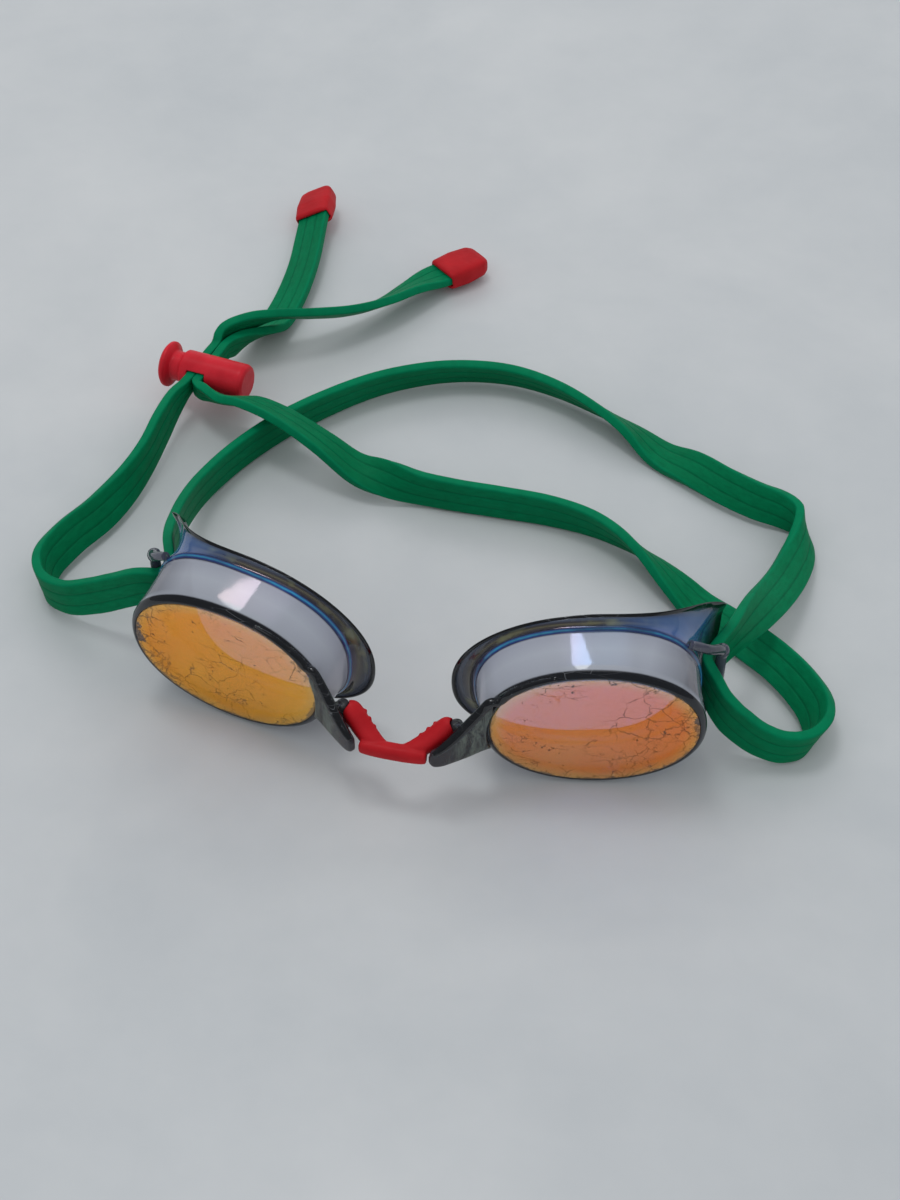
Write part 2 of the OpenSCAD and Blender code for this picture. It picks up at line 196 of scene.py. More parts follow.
def mat_red(name, light, dark, rough, coat, wear=0.5):
    m = Nodes(name)
    c = m.coord()
    broad = m.noise(c, 160.0, 3.0, 0.5)
    fine = m.noise(c, 1500.0, 2.0, 0.5)
    scuff = m.noise(m.scaled(c, (1.0, 2.4, 0.7)), 700.0, 6.0, 0.7, 0.6)
    base = m.mix(m.ramp(broad, [(0.32, 0.0), (0.7, 1.0)]), dark, light)
    # painted shade: crevices and tight corners found by ambient occlusion are painted a darker red
    ao = m.new("ShaderNodeAmbientOcclusion", {"Distance": 0.002}, samples=6, only_local=True).outputs["AO"]
    base = m.mix(m.ramp(ao, [(0.35, 0.75), (0.95, 0.0)]), base, tuple(v * 0.45 for v in dark))
    bev = m.new("ShaderNodeBevel", {"Radius": 0.0004}, samples=4).outputs["Normal"]
    geo = m.new("ShaderNodeNewGeometry").outputs["Normal"]
    dot = m.new("ShaderNodeVectorMath", {0: bev, 1: geo}, operation="DOT_PRODUCT").outputs["Value"]
    edge = m.math("MULTIPLY", m.ramp(dot, [(0.90, 1.0), (0.995, 0.0)]), m.ramp(scuff, [(0.42, 0.0), (0.62, 1.0)]))
    base = m.mix(m.math("MULTIPLY", edge, wear), base, tuple(min(1.0, v * 1.5 + 0.05) for v in light))
    r = m.math("ADD", m.math("MULTIPLY", m.ramp(scuff, [(0.4, 0.0), (0.75, 1.0)]), 0.18), rough)
    p = m.principled(Base_Color=base, Roughness=r, Normal=m.bump(m.math("ADD", fine, m.math("MULTIPLY", scuff, 0.6)), 0.16, 0.00012))
    p.inputs["Specular IOR Level"].default_value = 0.14
    p.inputs["Coat Weight"].default_value = coat
    p.inputs["Coat Roughness"].default_value = 0.22
    return m.done(p.outputs[0])


def mat_steel():
    m = Nodes("spring_steel_wire")
    c = m.coord()
    drawn = m.noise(m.scaled(c, (3.0, 0.4, 0.4)), 2500.0, 3.0, 0.6)
    base = m.mix(drawn, (0.50, 0.50, 0.52), (0.68, 0.68, 0.70))
    p = m.principled(Base_Color=base, Metallic=1.0, Roughness=m.math("ADD", m.math("MULTIPLY", drawn, 0.2), 0.22), Normal=m.bump(drawn, 0.15, 0.00005))
    return m.done(p.outputs[0])


def mat_smoke():
    """Translucent smoke polycarbonate. zone runs round the cup's section: 0 rim, 3 wall, 4 foot, 5 ledge, 6-9 flange, 10 bead, 12-15 back, 16 inside.
    part is 0 on the moulded shell, 1 on the nose tab, 2 on the side bar."""
    m = Nodes("smoke_polycarbonate")
    c = m.coord()
    zone = m.math("DIVIDE", m.attr("zone"), 21.0)
    wob = m.noise(c, 120.0, 3.0, 0.5)
    fine = m.noise(c, 900.0, 4.0, 0.6)
    zone_w = m.math("ADD", zone, m.math("MULTIPLY", m.math("SUBTRACT", wob, 0.5), 0.004))
    z = lambda v: v / 21.0
    colour = m.ramp(zone_w, [
        (z(0.0), (0.006, 0.008, 0.012)), (z(2.0), (0.005, 0.006, 0.009)), (z(2.14), (0.455, 0.475, 0.53)),
        (z(3.2), (0.55, 0.575, 0.635)), (z(3.85), (0.47, 0.49, 0.56)), (z(4.08), (0.012, 0.016, 0.030)),
        (z(4.6), (0.030, 0.042, 0.070)), (z(5.3), (0.075, 0.080, 0.080)), (z(6.2), (0.060, 0.072, 0.098)),
        (z(8.2), (0.085, 0.100, 0.135)), (z(8.45), (0.050, 0.060, 0.080)), (z(8.62), (0.003, 0.004, 0.006)),
        (z(11.5), (0.003, 0.004, 0.006)), (z(12.0), (0.05, 0.06, 0.08)), (z(14.2), (0.08, 0.09, 0.11)), (z(15.2), (0.045, 0.047, 0.055)),
        (z(18.0), (0.035, 0.036, 0.045)), (z(20.5), (0.02, 0.025, 0.03))])
    alpha = m.ramp(zone_w, [
        (z(0.0), 0.97), (z(2.0), 0.97), (z(2.16), 0.70), (z(3.8), 0.68), (z(4.1), 0.96), (z(5.0), 0.93), (z(5.8), 0.90), (z(8.4), 0.84),
        (z(8.6), 0.99), (z(11.2), 0.99), (z(11.7), 0.62), (z(14.5), 0.58), (z(17.0), 0.55), (z(20.5), 0.92)])
    # nose tab: smoke with rubbed green-grey streaks, darker at its tip; side bar: lavender grey
    part = m.attr("part")
    is_tab = m.math("SUBTRACT", 1.0, m.math("ABSOLUTE", m.math("SUBTRACT", part, 1.0)), clamp=True)
    is_lip = m.math("SUBTRACT", part, 2.0, clamp=True)
    is_bar = m.math("SUBTRACT", m.math("SUBTRACT", part, 1.0, clamp=True), is_lip, clamp=True)
    tip = m.attr("tip")
    rub = m.noise(m.scaled(c, (1.3, 1.0, 0.35)), 520.0, 8.0, 0.75, 1.2)
    tabc = m.mix(m.ramp(rub, [(0.43, 0.0), (0.60, 1.0)]), (0.005, 0.006, 0.008), (0.120, 0.150, 0.125))
    tabc = m.mix(m.ramp(tip, [(0.42, 0.0), (0.72, 1.0)]), tabc, (0.014, 0.010, 0.017))
    # tab edges painted a lighter grey: part edge wear, part painted highlight along the rounded edges
    ao_edge = m.new("ShaderNodeBevel", {"Radius": 0.0006}, samples=4).outputs["Normal"]
    geo = m.new("ShaderNodeNewGeometry").outputs["Normal"]
    dot = m.new("ShaderNodeVectorMath", {0: ao_edge, 1: geo}, operation="DOT_PRODUCT").outputs["Value"]
    edge = m.math("MULTIPLY", m.ramp(dot, [(0.86, 1.0), (0.985, 0.0)]), m.ramp(fine, [(0.40, 0.2), (0.62, 1.0)]))
    tabc = m.mix(m.math("MULTIPLY", edge, 0.30), tabc, (0.30, 0.33, 0.35))
    colour = m.mix(is_tab, colour, tabc)
    barc = m.mix(m.ramp(wob, [(0.35, 0.0), (0.65, 1.0)]), (0.030, 0.034, 0.050), (0.085, 0.090, 0.125))
    colour = m.mix(is_bar, colour, barc)
    colour = m.mix(is_lip, colour, m.mix(m.ramp(fine, [(0.64, 0.0), (0.80, 0.5)]), (0.004, 0.005, 0.007), (0.22, 0.25, 0.27)))
    alpha = m.math("MAXIMUM", alpha, m.math("MULTIPLY", m.math("MINIMUM", part, 1.0), 0.93))
    xl = m.math("SUBTRACT", m.new("ShaderNodeSeparateXYZ", {0: c}).outputs["X"], HOME[0] / 1000)
    # the wall darkens round its temple end
    far_end = m.math("MULTIPLY", m.ramp(m.math("MULTIPLY", m.math("ABSOLUTE", xl), 10.0), [(0.50, 0.0), (0.595, 0.75)]), m.ramp(zone, [(z(2.1), 0.0), (z(2.4), 1.0), (z(3.8), 1.0), (z(4.0), 0.0)]))
    colour = m.mix(far_end, colour, (0.105, 0.110, 0.125))
    # fine scratches and dust on the wall
    hair = m.new("ShaderNodeTexVoronoi", {"Vector": m.scaled(c, (0.35, 1.0, 2.6)), "Scale": 330.0}, feature="DISTANCE_TO_EDGE").outputs["Distance"]
    hair = m.math("MULTIPLY", m.ramp(hair, [(0.0, 1.0), (0.018, 0.0)]), m.ramp(m.noise(c, 85.0), [(0.50, 0.0), (0.62, 1.0)]))
    colour = m.mix(m.math("MULTIPLY", hair, 0.22), colour, (0.55, 0.57, 0.60))
    # interference colours: strongest on the ledge behind the wall, faint on the wall itself
    zed = m.math("ADD", m.attr("zone"), m.math("MULTIPLY", m.math("SUBTRACT", m.noise(c, 110.0, 3.0, 0.6), 0.5), 0.5))
    film = m.ramp(m.math("DIVIDE", m.math("SUBTRACT", zed, 4.0), 5.0), [
        (0.0, (0.006, 0.010, 0.035)), (0.05, (0.010, 0.050, 0.260)), (0.095, (0.040, 0.420, 0.640)), (0.135, (0.020, 0.130, 0.420)), (0.19, (0.006, 0.008, 0.022)),
        (0.30, (0.020, 0.016, 0.016)), (0.42, (0.090, 0.078, 0.040)), (0.52, (0.030, 0.026, 0.030)), (0.66, (0.060, 0.075, 0.110)), (0.85, (0.085, 0.105, 0.150)), (1.0, (0.02, 0.025, 0.04))])
    faint = m.ramp(m.noise(c, 52.0, 4.0, 0.65), [(0.40, 0.80), (0.62, 0.0)])
    film = m.mix(m.math("MULTIPLY", faint, m.ramp(zone, [(z(3.9), 1.0), (z(4.9), 1.0), (z(5.1), 0.0)])), film, (0.020, 0.030, 0.075))
    patchy = m.ramp(m.noise(c, 75.0, 3.0, 0.6), [(0.50, 0.0), (0.62, 1.0)])
    film = m.mix(m.math("MULTIPLY", patchy, m.ramp(zone, [(z(5.0), 0.0), (z(5.6), 0.75), (z(7.2), 0.75), (z(8.0), 0.0)])), film, (0.24, 0.25, 0.10))
    bluish = m.ramp(m.math("MULTIPLY", m.math("ABSOLUTE", xl), 10.0), [(0.38, 0.0), (0.56, 0.90)])
    film = m.mix(m.math("MULTIPLY", bluish, m.ramp(zone, [(z(4.8), 0.0), (z(5.4), 1.0), (z(8.2), 1.0), (z(8.6), 0.0)])), film, (0.034, 0.130, 0.380))
    on = m.ramp(zone, [(z(3.96), 0.0), (z(4.04), 1.0), (z(5.2), 1.0), (z(7.4), 0.85), (z(8.5), 0.0)])
    on = m.math("MULTIPLY", on, m.math("SUBTRACT", 1.0, m.math("MINIMUM", part, 1.0)))
    colour = m.mix(on, colour, film)
    inside = m.ramp(zone, [(z(14.6), 0.0), (z(15.4), 1.0), (z(18.4), 1.0), (z(19.2), 0.0)])
    rubbed = m.math("MULTIPLY", m.math("ADD", m.math("MULTIPLY", m.math("MULTIPLY", rub, is_tab), 0.55), m.math("MULTIPLY", fine, 0.06)), 1.0)
    body = m.principled(Base_Color=colour, Roughness=m.math("ADD", m.math("ADD", rubbed, 0.025), m.math("MULTIPLY", inside, 0.4)),
                        Normal=m.bump(m.math("ADD", m.math("MULTIPLY", fine, 0.06), m.math("ADD", m.math("MULTIPLY", wob, 0.25), m.math("MULTIPLY", m.math("MULTIPLY", rub, is_tab), 1.8))), 0.10, 0.00035))
    body.inputs["Specular IOR Level"].default_value = 0.60
    body.inputs["IOR"].default_value = 1.58
    across = m.math("DIVIDE", m.math("ADD", xl, 0.060), 0.120)
    film_nm = m.ramp(across, [(0.0, 0.80), (0.16, 0.70), (0.30, 0.76), (0.45, 0.84), (0.62, 0.86), (0.755, 0.73), (0.80, 0.84), (0.84, 0.90), (1.0, 0.74)])
    where = m.math("MULTIPLY", m.ramp(zone, [(z(2.2), 0.0), (z(2.3), 1.0), (z(5.4), 1.0), (z(5.6), 0.0)], "CONSTANT"), m.math("LESS_THAN", part, 0.5))
    m.link(m.math("MULTIPLY", m.math("MULTIPLY", film_nm, 200.0), where), body.inputs["Thin Film Thickness"])
    body.inputs["Thin Film IOR"].default_value = 1.82
    clear = m.new("ShaderNodeBsdfTransparent", {"Color": (0.80, 0.82, 0.88, 1)})
    return m.done(m.new("ShaderNodeMixShader", {0: alpha, 1: clear.outputs[0], 2: body.outputs[0]}).outputs[0])


def mat_lens(name, gloss, through, seed, low):
    """Mirror coating on a smoke pane: reflects orange and lets a little bluish light through; crazed and peeled near its edge."""
    m = Nodes(name)
    c = m.coord()
    off = m.new("ShaderNodeVectorMath", {0: c, 1: (seed, seed * 0.7, -seed)}, operation="ADD").outputs[0]
    rim = m.attr("rim")        # 0 in the middle of the pane, 1 at its edge
    side = m.attr("temple")    # 0 at the nose end, 1 at the temple end
    wave = m.noise(off, 55.0, 3.0, 0.5)
    warp = m.new("ShaderNodeTexNoise", {"Vector": off, "Scale": 260.0, "Detail": 4.0, "Roughness": 0.6}).outputs["Color"]
    bent = m.new("ShaderNodeVectorMath", {0: off, 1: m.new("ShaderNodeVectorMath", {0: warp, 1: (0.0035, 0.0035, 0.0035)}, operation="MULTIPLY").outputs[0]}, operation="ADD").outputs[0]
    def cracks(scale, width, lo, hi, area_scale):
        v = m.new("ShaderNodeTexVoronoi", {"Vector": bent, "Scale": scale}, feature="DISTANCE_TO_EDGE").outputs["Distance"]
        line = m.ramp(v, [(0.0, 1.0), (width, 0.0)])
        where = m.math("ADD", m.noise(off, area_scale, 3.0, 0.6), m.math("MULTIPLY", m.math("POWER", rim, 4.0), 0.05))
        where = m.math("ADD", where, m.math("MULTIPLY", m.math("POWER", side, 3.0), 0.20))
        return m.math("MULTIPLY", line, m.ramp(where, [(lo, 0.0), (hi, 1.0)]))
    lines = m.math("MAXIMUM", cracks(185.0, 0.036, 0.56, 0.66, 75.0), cracks(430.0, 0.050, 0.62, 0.70, 140.0))
    scratch = m.new("ShaderNodeTexVoronoi", {"Vector": m.new("ShaderNodeMapping", {"Vector": bent, "Rotation": (0.3, 0.5, 0.2), "Scale": (0.28, 1.0, 1.5)}).outputs[0], "Scale": 260.0}, feature="DISTANCE_TO_EDGE").outputs["Distance"]
    scratch = m.math("MULTIPLY", m.ramp(scratch, [(0.0, 1.0), (0.026, 0.0)]), m.ramp(m.noise(off, 95.0, 2.0), [(0.54, 0.0), (0.60, 1.0)]))
    lines = m.math("MAXIMUM", lines, scratch)
    spots = m.ramp(m.noise(off, 760.0, 3.0, 0.6), [(0.655, 0.0), (0.70, 1.0)])
    spots = m.math("MULTIPLY", spots, m.ramp(m.noise(off, 110.0, 2.0), [(0.46, 0.0), (0.56, 1.0)]))
    patch_at = m.math("ADD", m.noise(off, 190.0, 6.0, 0.68, 0.5), m.math("ADD", m.math("MULTIPLY", m.math("POWER", rim, 5.0), 0.03), m.math("MULTIPLY", m.math("POWER", side, 6.0), 0.10)))
    patches = m.ramp(patch_at, [(0.675, 0.0), (0.70, 1.0)])
    edge_rag = m.ramp(m.math("ADD", rim, m.math("MULTIPLY", m.math("SUBTRACT", m.noise(off, 330.0, 5.0, 0.7), 0.5), 0.22)), [(0.985, 0.0), (1.03, 1.0)])
    edge_rag = m.math("MULTIPLY", edge_rag, m.ramp(m.attr("high"), [(0.45, 1.0), (0.75, 0.0)]))
    bare = m.math("MAXIMUM", m.math("MULTIPLY", patches, 0.85), m.math("MULTIPLY", edge_rag, 0.6))
    dark = m.math("MAXIMUM", m.math("MULTIPLY", lines, 0.80), m.math("MULTIPLY", spots, 0.85))
    dark = m.math("MULTIPLY", dark, m.math("ADD", m.math("MULTIPLY", m.noise(off, 240.0, 2.0), 0.9), 0.45), clamp=True)
    # coating: colour drifts a little over the pane, yellower towards the nose and the edge; painted reflection: the
    # lower part of the pane is painted toward the low tone, for the change in what the mirror reflects from top to
    # bottom
    drift = m.math("ADD", m.math("MULTIPLY", wave, 0.7), m.math("MULTIPLY", side, -0.35))
    drift = m.math("ADD", drift, m.math("MULTIPLY", m.math("SUBTRACT", 0.5, m.attr("high")), 0.45))
    tone = m.mix(m.ramp(drift, [(0.05, 0.0), (0.50, 1.0)]), gloss, low)
    tone = m.mix(m.ramp(rim, [(0.86, 0.0), (1.0, 0.55)]), tone, (0.80, 0.52, 0.16))
    nrm = m.bump(m.math("ADD", m.math("MULTIPLY", wave, 1.0), m.math("MULTIPLY", m.math("MAXIMUM", bare, dark), -0.08)), 0.12, 0.0006)
    mirror = m.new("ShaderNodeBsdfGlossy", {"Color": tone, "Roughness": m.math("ADD", m.math("MULTIPLY", m.noise(off, 700.0, 3.0), 0.10), 0.05), "Normal": nrm})
    veil = m.new("ShaderNodeBsdfDiffuse", {"Color": tone, "Normal": nrm})
    coat = m.new("ShaderNodeMixShader", {0: 0.22, 1: mirror.outputs[0], 2: veil.outputs[0]}).outputs[0]
    clear = m.new("ShaderNodeBsdfTransparent", {"Color": (*through, 1)})
    coated = m.new("ShaderNodeAddShader", {0: coat, 1: clear.outputs[0]}).outputs[0]
    grey = m.principled(Base_Color=m.mix(m.noise(off, 500.0), (0.035, 0.045, 0.060), (0.11, 0.14, 0.175)), Roughness=0.25)
    see = m.new("ShaderNodeBsdfTransparent", {"Color": (0.32, 0.36, 0.42, 1)})
    naked = m.new("ShaderNodeMixShader", {0: 0.72, 1: see.outputs[0], 2: grey.outputs[0]}).outputs[0]
    peeled = m.new("ShaderNodeMixShader", {0: bare, 1: coated, 2: naked}).outputs[0]
    black = m.principled(Base_Color=(0.035, 0.022, 0.022, 1), Roughness=0.5)
    return m.done(m.new("ShaderNodeMixShader", {0: dark, 1: peeled, 2: black.outputs[0]}).outputs[0])


def mat_floor():
    m = Nodes("pale_floor")
    c = m.coord()
    cloud = m.noise(c, 9.0, 5.0, 0.55, 0.4)
    fine = m.noise(c, 60.0, 4.0, 0.6)
    base = m.mix(m.ramp(m.math("ADD", m.math("MULTIPLY", cloud, 0.8), m.math("MULTIPLY", fine, 0.2)), [(0.34, 0.0), (0.66, 1.0)]), (0.545, 0.565, 0.575), (0.640, 0.650, 0.650))
    p = m.principled(Base_Color=base, Roughness=m.math("ADD", m.math("MULTIPLY", fine, 0.10), 0.34), Normal=m.bump(cloud, 0.05, 0.002))
    p.inputs["Specular IOR Level"].default_value = 0.35
    return m.done(p.outputs[0])


# ------------------------------------------------------------------ mesh helpers
def make(name, verts, faces, mat, attrs=None, smooth=True):
    me = bpy.data.meshes.new(name)
    me.from_pydata([tuple(v) for v in np.asarray(verts).tolist()], [], faces)
    me.validate()
    o = bpy.data.objects.new(name, me)
    bpy.context.scene.collection.objects.link(o)
    for k, v in (attrs or {}).items():
        me.attributes.new(k, "FLOAT", "POINT").data.foreach_set("value", np.asarray(v, np.float32))
    bm = bmesh.new()
    bm.from_mesh(me)
    bmesh.ops.recalc_face_normals(bm, faces=bm.faces)
    bm.to_mesh(me)
    bm.free()
    if smooth:
        me.polygons.foreach_set("use_smooth", [True] * len(me.polygons))
    if mat:
        me.materials.append(mat)
    return o


def loft_faces(n, m, closed=False, base=0):
    """Quads between n rings of m points; end caps if the loft is open."""
    f = []
    for i in range(n if closed else n - 1):
        a, b = base + i * m, base + ((i + 1) % n) * m
        for j in range(m):
            k = (j + 1) % m
            f.append((a + j, a + k, b + k, b + j))
    if not closed:
        f.append(tuple(base + j for j in range(m - 1, -1, -1)))
        f.append(tuple(base + (n - 1) * m + j for j in range(m)))
    return f


def apply_modifiers(o):
    dg = bpy.context.evaluated_depsgraph_get()
    me = bpy.data.meshes.new_from_object(o.evaluated_get(dg), preserve_all_data_layers=True, depsgraph=dg)
    old = o.data
    o.modifiers.clear()
    o.data = me
    bpy.data.meshes.remove(old)
    return o


def boolean(o, others, operation):
    for x in others:
        b = o.modifiers.new("b", "BOOLEAN")
        b.operation, b.object, b.solver = operation, x, "EXACT"
    bpy.context.view_layer.update()
    apply_modifiers(o)
    for x in others:
        bpy.data.objects.remove(x)
    return o


def soften(o, voxel, rounds, factor=0.5):
    """Rounds a closed mesh's edges the way moulded plastic is rounded."""
    r = o.modifiers.new("r", "REMESH")
    r.mode, r.voxel_size, r.use_smooth_shade = "VOXEL", voxel, True
    apply_modifiers(o)
    s = o.modifiers.new("s", "SMOOTH")
    s.factor, s.iterations = factor, rounds
    apply_modifiers(o)
    o.data.polygons.foreach_set("use_smooth", [True] * len(o.data.polygons))
    return o


def copy_of(node, name, mat):
    """A new mesh with the CAD node's shape."""
    me = nodes[node].data.copy()
    me.name = name
    me.materials.clear()
    me.materials.append(mat)
    o = bpy.data.objects.new(name, me)
    bpy.context.scene.collection.objects.link(o)
    bm = bmesh.new()
    bm.from_mesh(me)
    bmesh.ops.remove_doubles(bm, verts=bm.verts, dist=1e-6)
    bmesh.ops.recalc_face_normals(bm, faces=bm.faces)
    bm.to_mesh(me)
    bm.free()
    return o


def unit(v):
    v = np.asarray(v, float)
    return v / np.linalg.norm(v)


def catmull(p, per):
    """Open Catmull-Rom curve through the rows of p, per steps to a gap."""
    p = np.asarray(p, float)
    q = np.vstack([2 * p[0] - p[1], p, 2 * p[-1] - p[-2]])
    out = []
    for i in range(len(p) - 1):
        a, b, c, d = q[i:i + 4]
        for k in range(per):
            t = k / per
            out.append(0.5 * (2 * b + (c - a) * t + (2 * a - 5 * b + 4 * c - d) * t * t + (3 * b - a - 3 * c + d) * t ** 3))
    out.append(p[-1])
    return np.array(out)


# ------------------------------------------------------------------ eyecups
FACE_A, FACE_B, FACE_V, WALL_D = 23.5, 18.0, -0.9, 9.7
CUP_X, CUP_Z, WRAP, ROLL, LEAN, WALL_T = 40.3, 18.95, 10.6, 3.4, 1.9, 1.25
LENS_A, LENS_B, PANE_T = FACE_A - 1.5, FACE_B - 1.5, 2.0
PEG = (12.3, -6.0)
BAR = (63.5, 22.4)


def cosd(a):
    return math.cos(math.radians(a))


def sind(a):
    return math.sin(math.radians(a))


def se(a, b, n, t):
    c, s = cosd(t), sind(t)
    return np.array([a * math.copysign(abs(c) ** (2 / n), c), b * math.copysign(abs(s) ** (2 / n), s)])


def nrm(t):
    return unit([cosd(t) / 24, sind(t) / 18.5])


def tmpl(t):
    return max(0.0, (cosd(t) + 0.1) / 1.05) ** 3


def nose(t):
    return max(0.0, -cosd(t))


def tip(t):
    return math.exp(-((t - 16) / 9) ** 2)


def add(p, n, r, d):
    return np.array([p[0] + n[0] * r, p[1] + n[1] * r, p[2] + d])


def foot(t):
    p = se(22.3 if cosd(t) > 0 else 24.9, 18.7, 2.35, t)
    return np.array([p[0], p[1] + 1, -WALL_D - 1.3 * max(0.0, cosd(t))])


def edge(t):
    p = se(27.2 if cosd(t) > 0 else 29.7, 19.65 if sind(t) > 0 else 18.9, 2.2, t)
    return np.array([p[0] + 1.8 * tip(t), p[1] + 0.4, -WALL_D - 3.7 + 1.9 * nose(t) - 14.8 * tmpl(t)])


def ledge(t):
    return add(foot(t), nrm(t), 0.6, -0.5)


def dish(t, f):
    a, b, k = ledge(t), edge(t), f ** (1.3 + 0.9 * min(1.0, tmpl(t)))
    p = np.array([a[0] + (b[0] - a[0]) * k, a[1] + (b[1] - a[1]) * k, a[2] + (b[2] - a[2]) * f])
    return add(p, nrm(t), -1.7 * sind(180 * f) * min(1.0, tmpl(t)), -1.1 * sind(180 * f) * nose(t))


def back(t, f, k=1.0):
    a, b, n = ledge(t), edge(t), nrm(t)
    dr, dd = (b[0] - a[0]) * n[0] + (b[1] - a[1]) * n[1], b[2] - a[2]
    l = math.hypot(dr, dd)
    return add(dish(t, f), n, k * WALL_T * dd / l, -k * WALL_T * dr / l)


def section(t):
    n = nrm(t)
    l0, f0 = se(LENS_A, LENS_B, 2.1, t), se(FACE_A, FACE_B, 2.1, t)
    l, f, b = np.array([l0[0], l0[1] + FACE_V, 0]), np.array([f0[0], f0[1] + FACE_V, 0]), foot(t)
    m = (f + b) / 2
    return [add(l, n, 0.06, 0), add(l, n, 0.5, 0), add(f, n, 0, -0.9), add(m, n, -0.2, 0), b, ledge(t),
            dish(t, 0.3), dish(t, 0.6), dish(t, 0.85), add(edge(t), n, 0.1, 0.45), add(edge(t), n, 0.75, -0.1),
            back(t, 1, 1.2), back(t, 0.8), back(t, 0.5), back(t, 0.2), add(b, n, -WALL_T, 0.2), add(m, n, -WALL_T - 0.1, 0),
            add(f, n, -WALL_T - 0.1, -3.4), add(l, n, -1.3, -PANE_T - 0.7), add(l, n, -1.3, -PANE_T - 0.05), add(l, n, 0.06, -PANE_T - 0.05)]


def place_cup(p):
    """Pane coordinates (along, up, out) -> millimetres about the middle of the eyecups."""
    p = np.atleast_2d(p)
    r = math.radians
    u = p[:, 0] * math.cos(r(ROLL)) - p[:, 1] * math.sin(r(ROLL))
    v = p[:, 0] * math.sin(r(ROLL)) + p[:, 1] * math.cos(r(ROLL))
    x, y, z = u, -p[:, 2], v
    x, y = x * math.cos(r(WRAP)) - y * math.sin(r(WRAP)) + CUP_X, x * math.sin(r(WRAP)) + y * math.cos(r(WRAP))
    y, z = y * math.cos(r(LEAN)) - z * math.sin(r(LEAN)), y * math.sin(r(LEAN)) + z * math.cos(r(LEAN)) + CUP_Z
    return np.stack([x, y, z], 1)


def round_section(points, per, keep):
    """Closed section through the control points: straight spans joined by small rounded corners of radius share keep."""
    n, out, idx = len(points), [], []
    P = np.array(points)
    for i in range(n):
        a, b, c = P[i - 1], P[i], P[(i + 1) % n]
        k = keep[i]
        la, lc = np.linalg.norm(a - b), np.linalg.norm(c - b)
        ra, rc = (0.5 * la, 0.5 * lc) if k is None else (min(0.5 * la, k), min(0.5 * lc, k))
        s, e = b + (a - b) * (ra / max(la, 1e-9)), b + (c - b) * (rc / max(lc, 1e-9))
        for j in range(per):
            t = j / (per - 1)
            out.append((1 - t) ** 2 * s + 2 * t * (1 - t) * b + t * t * e)
            idx.append((i - 0.5 * (1 - t) * ra / max(0.5 * la, 1e-9) * 1.0 + 0.5 * t * rc / max(0.5 * lc, 1e-9)) % n)
    return np.array(out), idx


CORNER = [0.12, None, 0.7, None, 0.55, 0.45, None, None, None, 0.35, 0.45, 0.45, None, None, None, 0.5, None, None, 0.4, 0.1, 0.08]


